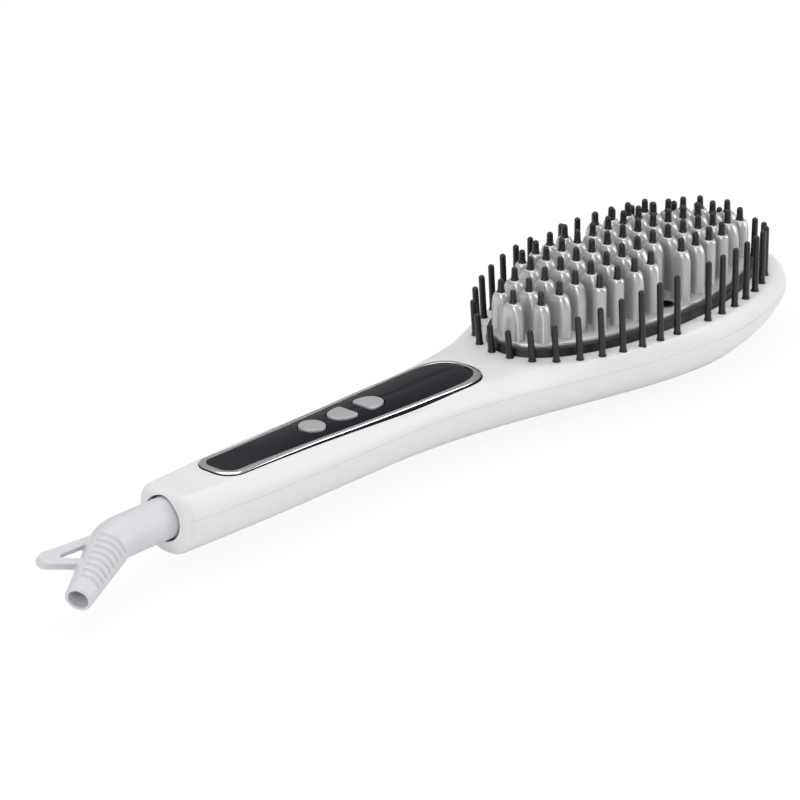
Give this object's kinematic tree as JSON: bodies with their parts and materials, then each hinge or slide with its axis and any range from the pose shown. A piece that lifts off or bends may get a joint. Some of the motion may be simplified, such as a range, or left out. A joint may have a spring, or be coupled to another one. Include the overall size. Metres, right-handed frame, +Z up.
{
  "type": "steam hair straightener brush",
  "caption": "Oval brush head with a heated toothed plate and outer bristles, on a long handle with a control panel and a swivelling cord exit with a hanging loop.",
  "frame": {"origin": "bottom centre of the bounding box, under the middle of the brush, on the surface that it lies on", "axes": "+X along the brush towards the head's tip, +Z up, the way the teeth point, +Y to the left of someone who holds the handle and sees the teeth"},
  "size_m": [0.331, 0.0704, 0.0507],
  "materials": {
    "casing": "gloss",
    "ring_black": "satin",
    "plate_metal": "satin metallic coating",
    "cap_black": "satin",
    "bristle_black": "satin",
    "insert_black": "matt",
    "pin_steel": "satin",
    "heater_metal": "satin",
    "film_amber": "gloss",
    "sheet_steel": "satin",
    "screw_steel": "satin",
    "shield_board": "matt",
    "fuse_cream": "satin",
    "potting_white": "satin",
    "board_green": "satin",
    "component_dark": "satin",
    "display_grey": "gloss",
    "bezel_chrome": "polished",
    "lens_black": "gloss",
    "button_silver": "fine-grained satin",
    "bush_dark": "satin",
    "spigot_white": "satin",
    "contact_brass": "satin",
    "elbow_white": "satin",
    "lead_red": "satin",
    "lead_white": "satin"
  },
  "bodies": {
    "casing": {"upper_casing": "casing", "lower_casing": "casing", "insulating_ring": "ring_black", "heating_plate": "plate_metal", "tooth_caps": "cap_black", "near_bristle_comb": "bristle_black", "far_bristle_comb": "bristle_black", "outlet_inserts": "insert_black", "electrode_pins": "pin_steel", "ptc_heaters": "heater_metal", "heater_film": "film_amber", "heater_clamp": "sheet_steel", "clamp_screws": "screw_steel", "plate_screws": "screw_steel", "heat_shield": "shield_board", "thermal_fuse": "fuse_cream", "temperature_sensor": "fuse_cream", "ioniser_module": "potting_white", "ring_screws": "screw_steel", "control_board": "board_green", "board_screws": "screw_steel", "tact_switches": "component_dark", "lcd_module": "display_grey", "board_components": "component_dark", "panel_bezel": "bezel_chrome", "display_lens": "lens_black", "swivel_bush": "bush_dark", "contact_carrier": "bush_dark", "contact_springs": "contact_brass", "mains_leads": "lead_red", "heater_leads": "lead_white", "casing_screws": "screw_steel"},
    "cord_exit": {"swivel_spigot": "spigot_white", "retaining_clip": "sheet_steel", "slip_rings": "contact_brass", "cord_elbow": "elbow_white"},
    "power_key": {"power_button": "button_silver"},
    "minus_key": {"minus_button": "button_silver"},
    "plus_key": {"plus_button": "button_silver"}
  },
  "joints": [
    {"name": "cord_swivel", "type": "hinge", "parent": "casing", "child": "cord_exit", "pos_m": [-0.11785, 0, 0.0183], "axis": [-1, 0, 0], "continuous": true},
    {"name": "power_press", "type": "slide", "parent": "casing", "child": "power_key", "axis": [-0.0157, 0, -0.9999], "range_m": [0, 0.0008], "stiffness_N_per_m": 1200, "springref_m": -0.0004},
    {"name": "minus_press", "type": "slide", "parent": "casing", "child": "minus_key", "axis": [-0.0157, 0, -0.9999], "range_m": [0, 0.0008], "stiffness_N_per_m": 1200, "springref_m": -0.0004},
    {"name": "plus_press", "type": "slide", "parent": "casing", "child": "plus_key", "axis": [-0.0157, 0, -0.9999], "range_m": [0, 0.0008], "stiffness_N_per_m": 1200, "springref_m": -0.0004}
  ]
}
